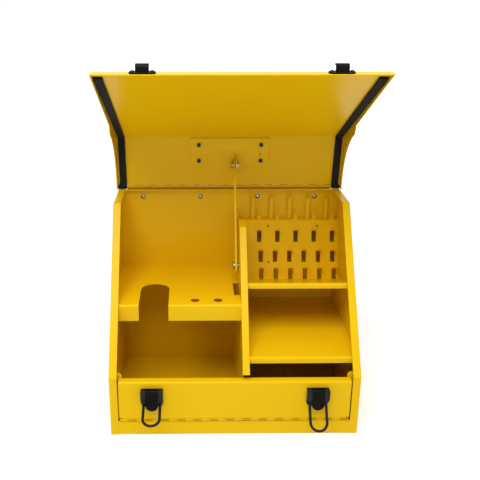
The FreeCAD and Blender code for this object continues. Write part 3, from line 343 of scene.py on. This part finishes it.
# %% [markdown]
# Foam and rubber.
# The seals are closed-cell foam: matte black, covered in pores under a millimetre wide. The grip is moulded
# rubber, also black and matte, with the fine texture of its mould. Pores could be modelled, but at this size
# a cell pattern in the bump looks the same and costs no faces.

# %% Foam and rubber
pore_span = (0.1, 0.6)
pore_share = 0.6
pore_bump = 0.6
cloud_scale = 90.0
cloud_share = 0.4
cloud_gloss = 0.12


def soft_black(name, dark, light, pore_scale, pore_depth, roughness):
    """Matte black: cells give the pores in the bump and, with a cloud of noise, a slight change of tone."""
    finish = Finish(name, IOR=1.45, Specular_IOR_Level=0.25)
    pores = finish.cells(pore_scale)
    cloud = finish.noise(cloud_scale, detail=3.0)
    tone = finish.blend(pores.between(*pore_span) * pore_share + cloud * cloud_share, dark, light)
    gloss = roughness + (cloud - 0.5) * cloud_gloss
    normal = finish.bump(pores, pore_depth, pore_bump)
    return finish.feed(Base_Color=tone, Roughness=gloss, Normal=normal)


foam = soft_black("black_foam", grey(0.004), grey(0.012),
                  pore_scale=1300.0, pore_depth=0.5 * MM, roughness=0.86)
rubber = soft_black("black_rubber", grey(0.008), grey(0.016),
                    pore_scale=2200.0, pore_depth=0.2 * MM, roughness=0.62)

# %% [markdown]
# Coat every solid.
# Each of the solids could get its material by hand. The record already says which finish a node takes, so a
# dictionary from the record's slot names to the materials dresses the whole frame in one loop. A second,
# short dictionary then gives the levers and keepers their own, deeper black, and the hinge leaves darker
# copies of the yellow coat, which are painted shade on their knuckles and gaps.

# %% Coat every solid
finishes = {"yellow_powder_coat": yellow_coat, "black_coat": black_metal, "black_foam": foam,
            "bright_steel": zinc, "black_rubber": rubber}
for subpart in frame["record"]["subparts"]:
    mesh = nodes[subpart["node"]].data
    mesh.materials.clear()
    mesh.materials.append(finishes[subpart["material_slot"]])

# %% Own tones, and painted shade on the hinge leaves
# The hinge leaves' coats are painted shade and shadow; the deeper black of levers and keepers is their own
shades = {"lid_hinge_body_leaf": hinge_painted_shade_coat, "lid_hinge_lid_leaf": hinge_painted_shade_coat,
          "front_hinge_panel_leaf": hinge_painted_shade_coat, "front_hinge_base_leaf": knuckle_painted_shadow_coat,
          "latch_lever_left": deep_black, "latch_lever_right": deep_black,
          "keeper_left": deep_black, "keeper_right": deep_black}
for name, shade in shades.items():
    nodes[name].data.materials[0] = shade
print("own tones:", ", ".join(shades))

# %% [markdown]
# Surfaces from grids.
# A soft piece could be pulled into shape with modelling tools, but then its shape is hard to repeat. Here it
# is a stack of rings of points: a function of two parameters gives every point at once as a numpy array, and
# the faces are the squares between neighbours. The stack closes on itself, or a cap closes each end.


# %% Grid to mesh
def grid_faces(rows, columns, close_rows):
    """Quads of rings of points: each ring closes on itself, and the last ring joins the first if asked."""
    index = np.arange(rows * columns).reshape(rows, columns)
    beside = np.roll(index, -1, axis=1)
    above = np.roll(index, -1, axis=0)
    across = np.roll(beside, -1, axis=0)
    last = rows if close_rows else rows - 1
    quads = np.stack([index, beside, across, above], axis=-1)[:last]
    return quads.reshape(-1, 4).tolist()


def ring_mesh(name, rings, material, close_rows=False):
    """A piece from a (rings, points, 3) array; an open stack gets a cap on each end ring."""
    rows, columns = rings.shape[:2]
    faces = grid_faces(rows, columns, close_rows)
    if not close_rows:
        faces.append(list(range(columns))[::-1])
        faces.append(list(range((rows - 1) * columns, rows * columns)))
    mesh = bpy.data.meshes.new(name)
    mesh.from_pydata(rings.reshape(-1, 3).tolist(), [], faces)
    mesh.polygons.foreach_set("use_smooth", np.ones(len(mesh.polygons), dtype=bool))
    mesh.update()
    mesh.materials.append(material)
    piece = bpy.data.objects.new(name, mesh)
    bpy.context.scene.collection.objects.link(piece)
    print(name, "has", len(faces), "faces")
    return piece


def seat(piece, body, node):
    """Make a piece stand for a CAD node: put it on that node's body and hide the node."""
    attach(piece, body)
    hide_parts(node)


print("three open rings of four points make", len(grid_faces(3, 4, False)), "squares")

# %% [markdown]
# Foam seals.
# A strip of foam is glued along each side of the lid and folds with it at the bend. A bevelled curve could
# make it, but its section would be the same all along. Here the section, a rectangle with soft corners, is
# carried along the glued line by a formula: straight up the rear panel, round the bend and along the sloping
# panel. Its free face is a little uneven. Beside the hinge it spreads to close the open corner, with a tail
# that is round about the hinge, so that it clears the case as the lid turns. Towards the lid's front it leans
# outwards.

# %% The lid's side view
hinge = np.array(joints["lid_hinge"]["pos_m"])
lid_open = math.radians(joints["lid_hinge"]["range_deg"][1])


def lid_point(along, below, x):
    """Points at x of the lid's side view, drawn shut and turned open by an angle a about the hinge.

    On the shut lid, along runs forwards from the hinge and below runs down from it, so that
    y = hinge - along cos a - below sin a and z = hinge + along sin a - below cos a.
    """
    turned_y = -along * math.cos(lid_open) - below * math.sin(lid_open)
    turned_z = along * math.sin(lid_open) - below * math.cos(lid_open)
    return np.stack(np.broadcast_arrays(x, hinge[1] + turned_y, hinge[2] + turned_z), axis=-1)


print("hinge axis at", hinge, "open by", round(math.degrees(lid_open), 1), "degrees")

# %% Glued line
foam_rear = -3.6 * MM
foam_bend = 88.75 * MM
foam_slope = 262.9 * MM
bend_radius = 7.0 * MM
slope_angle = math.radians(55.28)
foam_stations = (60, 14, 160)


def glued_line():
    """Stations of the glued line: along, below and heading, for a straight, an arc and a straight."""
    setback = bend_radius * math.tan(slope_angle / 2)
    first = np.linspace(foam_rear, foam_bend - setback, foam_stations[0])
    turn = np.linspace(0, slope_angle, foam_stations[1] + 2)[1:-1]
    run = np.linspace(setback, foam_slope, foam_stations[2])
    along = np.concatenate([first, foam_bend - setback + bend_radius * np.sin(turn),
                            foam_bend + run * math.cos(slope_angle)])
    below = np.concatenate([0 * first, bend_radius * (1 - np.cos(turn)), run * math.sin(slope_angle)])
    heading = np.concatenate([0 * first, turn, 0 * run + slope_angle])
    return along, below, heading


print("glued line of", sum(foam_stations), "stations")

# %% Foam section
foam_thick = 4.0 * MM
foam_wide = 11.5 * MM
foam_lean = 3.2 * MM
tail_radius = 4.2 * MM
tail_reach = 6.0 * MM
tail_outward = 3.6 * MM
tail_inward = 0.2 * MM
section_points = 48
corner_power = 0.28
# Waves are in stations of the glued line for each radian
press_mean = 0.975
press_depth = 0.02
press_waves = (5.3, 1.7)
press_skew = 4.0
side_wave = 7.1
side_depth = 0.012


def foam_strip(middle_x):
    """Section x = w cos^p / 2 and d = t (1 + sin^p) / 2, signs kept, with a small p for near-square corners.

    Along the strip, the middle moves outwards down the slope and the width w grows beside the hinge. The
    depth d is pressed unevenly by a product of two sine waves, and behind the hinge it stays within the
    tail's radius.
    """
    along, below, heading = (line[:, None] for line in glued_line())
    station = np.arange(along.size)[:, None]
    outward = math.copysign(1.0, middle_x)
    beside_hinge = np.clip(1 - along / tail_reach, 0, 1)
    down_slope = np.clip((along - foam_bend) / (foam_slope * math.cos(slope_angle)), 0, 1)
    wide = foam_wide + (tail_outward + tail_inward) * beside_hinge
    middle = middle_x + outward * (foam_lean * down_slope + (tail_outward - tail_inward) / 2 * beside_hinge)
    angle = np.linspace(0, 2 * math.pi, section_points, endpoint=False)[None, :]
    across = wide / 2 * np.sign(np.cos(angle)) * np.abs(np.cos(angle)) ** corner_power
    deep = foam_thick / 2 * (1 + np.sign(np.sin(angle)) * np.abs(np.sin(angle)) ** corner_power)
    ripple = np.sin(station / press_waves[0])
    ripple = ripple * np.sin(station / press_waves[1] + press_skew * across / foam_wide)
    turning_room = np.sqrt(tail_radius ** 2 - np.minimum(along, 0) ** 2)
    deep = np.minimum(deep * (press_mean + press_depth * ripple), turning_room)
    side = across * (1 + side_depth * np.sin(station / side_wave))
    return lid_point(along - deep * np.sin(heading), below + deep * np.cos(heading), middle + side)


for side_name in ("left", "right"):
    node = "gasket_" + side_name
    low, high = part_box(node)
    strip = ring_mesh("foam_seal_" + side_name, foam_strip((low.x + high.x) / 2), foam)
    seat(strip, "lid", node)
    print(node, "CAD box in mm", [round(value / MM, 1) for value in (*low, *high)])

# %% [markdown]
# Ribbed grip.
# The carrying handle has a rubber sleeve. On a plain tube a hand would slip, so moulded grips have rings, a
# slight waist and a collar at each end. A Screw modifier could turn a drawn outline, but a formula keeps the
# rings even: one radius for each place along the bar, carried round it, and the bore closes it from inside.

# %% Grip
grip_low, grip_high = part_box("handle_grip")
grip_half = (grip_high.x - grip_low.x) / 2
grip_radius = (grip_high.y - grip_low.y) / 2
grip_centre = (grip_low + grip_high) / 2
bar_radius = 4.05 * MM
rib_pitch = 5.2 * MM
rib_depth = 0.9 * MM
rib_fade = 1.5 * MM
rib_sharpness = 3
waist_depth = 1.0 * MM
collar = 7.0 * MM
chamfer = 2.0 * MM
grip_stations = 320
grip_points = 72


def grip_profile():
    """Radius along the bar: a waist of 1 - s^2, rings of a cosine to a power, chamfers and the bore."""
    x = np.linspace(-grip_half + chamfer, grip_half - chamfer, grip_stations)
    outside = grip_radius - waist_depth * (1 - (x / grip_half) ** 2)
    ribbed = np.clip((grip_half - collar - np.abs(x)) / rib_fade, 0, 1)
    wave = 0.5 - 0.5 * np.cos(2 * math.pi * x / rib_pitch)
    outside = outside - rib_depth * ribbed * wave ** rib_sharpness
    ends = np.array([-grip_half, -grip_half, grip_half, grip_half])
    radii = np.array([bar_radius, grip_radius - chamfer, grip_radius - chamfer, bar_radius])
    places = np.concatenate([ends[:2], x, ends[2:]])
    return places, np.concatenate([radii[:2], outside, radii[2:]])


def turned(x, radius, centre, count):
    """Rings about a line along X through a centre: y = r cos, z = r sin."""
    angle = np.linspace(0, 2 * math.pi, count, endpoint=False)[None, :]
    y = centre[1] + radius[:, None] * np.cos(angle)
    z = centre[2] + radius[:, None] * np.sin(angle)
    return np.stack(np.broadcast_arrays(centre[0] + x[:, None], y, z), axis=-1)


grip = ring_mesh("ribbed_grip", turned(*grip_profile(), grip_centre, grip_points), rubber, close_rows=True)
seat(grip, "handle", "handle_grip")

# %% [markdown]
# Floor.
# The box stands on a plain pale floor. More light would make it white, but it would bleach the box too. So
# the floor is pale and diffuse, and it glows only for the rays that show it: from the camera, and off shiny
# or through clear surfaces. The glow is weak near the box, where the shadow lies, and full further away.

# %% Floor
floor_size = 120.0
floor_tones = (grey(0.86), grey(0.88))
floor_scale = 3.0
floor_span = (0.2, 0.8)
near_glow = 0.35
glow_reach = (0.6, 3.0)


def seen_rays(wire):
    """1 for rays that show the background: from the camera, a glossy surface or a clear one; 0 for light."""
    kinds = ("Is Camera Ray", "Is Glossy Ray", "Is Transmission Ray")
    camera, glossy, clear = [wire.node("ShaderNodeLightPath", output=kind) for kind in kinds]
    return camera.larger(glossy).larger(clear)


def white_floor():
    """A wide square under the box, from a two by two grid of corners, with a glow that grows outwards."""
    corner = np.array([-1.0, 1.0]) * floor_size / 2
    x, y = np.meshgrid(corner, corner)
    points = np.stack([x, y, 0 * x], axis=-1).reshape(-1, 3)
    mesh = bpy.data.meshes.new("floor")
    mesh.from_pydata(points.tolist(), [], [[0, 1, 3, 2]])
    floor = bpy.data.objects.new("floor", mesh)
    bpy.context.scene.collection.objects.link(floor)
    floor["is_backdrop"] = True
    finish = Finish("pale_floor", Roughness=0.9, Specular_IOR_Level=0.1, Emission_Strength=1.0)
    tone = finish.blend(finish.noise(floor_scale, detail=2.0).between(*floor_span), *floor_tones)
    reach = finish.place.node("ShaderNodeVectorMath", {"operation": "LENGTH"}, {0: finish.place},
                              output="Value")
    glow = seen_rays(finish.place) * (near_glow + reach.between(*glow_reach) * (1.0 - near_glow))
    mesh.materials.append(finish.feed(Base_Color=tone, Emission_Color=glow))


white_floor()

# %% [markdown]
# Lamps.
# Soft studio light comes from broad lamps. One lamp above and in front does most of the work, a little to the
# left, and a weak one at each side fills the shade. A sun would be simpler, but its shadows are hard.

# %% Lamps
aim = np.array([0.0, 0.0, 0.25])
lamp_size = 0.9
lamps = {"key_lamp": ((-0.2, -0.8, 1.5), 18.5), "left_lamp": ((-1.3, -0.6, 1.8), 1.5),
         "right_lamp": ((1.3, -0.6, 1.8), 1.5)}


def soft_lamp(name, place, power):
    """Square area lamp that looks at the box."""
    data = bpy.data.lights.new(name, "AREA")
    data.size = lamp_size
    data.energy = power
    lamp = bpy.data.objects.new(name, data)
    lamp.location = place
    way = Vector(aim - np.array(place))
    lamp.rotation_euler = way.to_track_quat("-Z", "Y").to_euler()
    bpy.context.scene.collection.objects.link(lamp)
    print(name, "at", place, "with", power, "W")


for name, (place, power) in lamps.items():
    soft_lamp(name, place, power)

# %% [markdown]
# Air.
# Around the box and the floor is the world. It lights the box evenly from all sides, as a white room does. A
# sky would tint the paint. Like the floor, the air is white to the rays that show it and dimmer as a light,
# so that the shade inside the box stays.

# %% Air
ambient = 0.55
world = bpy.data.worlds.new("studio_air")
bpy.context.scene.world = world
world.use_nodes = True
air_tree = world.node_tree
background = air_tree.nodes["Background"]
background.inputs["Color"].default_value = grey(1.0)
strength = ambient + seen_rays(Wire(air_tree, background.outputs[0])) * (1.0 - ambient)
air_tree.links.new(strength.socket, background.inputs["Strength"])
bpy.context.scene.view_settings.view_transform = "Standard"
print("ambient level", ambient)

# %% [markdown]
# Camera.
# The photograph was taken from a little left of the middle and from above the lid's hinge, looking down by
# about 20 degrees. A camera set by eye drifts, so its place, its two angles and its focal length were fitted
# to corners and rivets that show in the photograph. The picture is not centred on its line of sight, as after
# a crop, so the lens is shifted a little.

# %% Camera
frame_pixels = 480.0
focal_pixels = 686.89
centre_pixel = (199.63, 241.91)
eye = (-62.97 * MM, -1023.81 * MM, 637.0 * MM)
yaw = 0.0107
pitch = 0.3426
lens_data = bpy.data.cameras.new("camera")
lens_data.sensor_width = 36.0
lens_data.lens = focal_pixels / frame_pixels * lens_data.sensor_width
lens_data.shift_x = 0.5 - centre_pixel[0] / frame_pixels
lens_data.shift_y = centre_pixel[1] / frame_pixels - 0.5
lens_data.clip_end = 200.0
camera = bpy.data.objects.new("camera", lens_data)
camera.location = eye
camera.rotation_euler = (math.pi / 2 - pitch, 0.0, -yaw)
bpy.context.scene.collection.objects.link(camera)
bpy.context.scene.camera = camera
print("camera lens", round(lens_data.lens, 2), "mm")

# %% [markdown]
# Sizes.
# Dressing must not change the object's size. The size of the dressed object, without the floor, is printed in
# millimetres.

# %% Sizes
low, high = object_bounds()
print("dressed size in mm", [round((top - bottom) / MM, 1) for top, bottom in zip(high, low)])
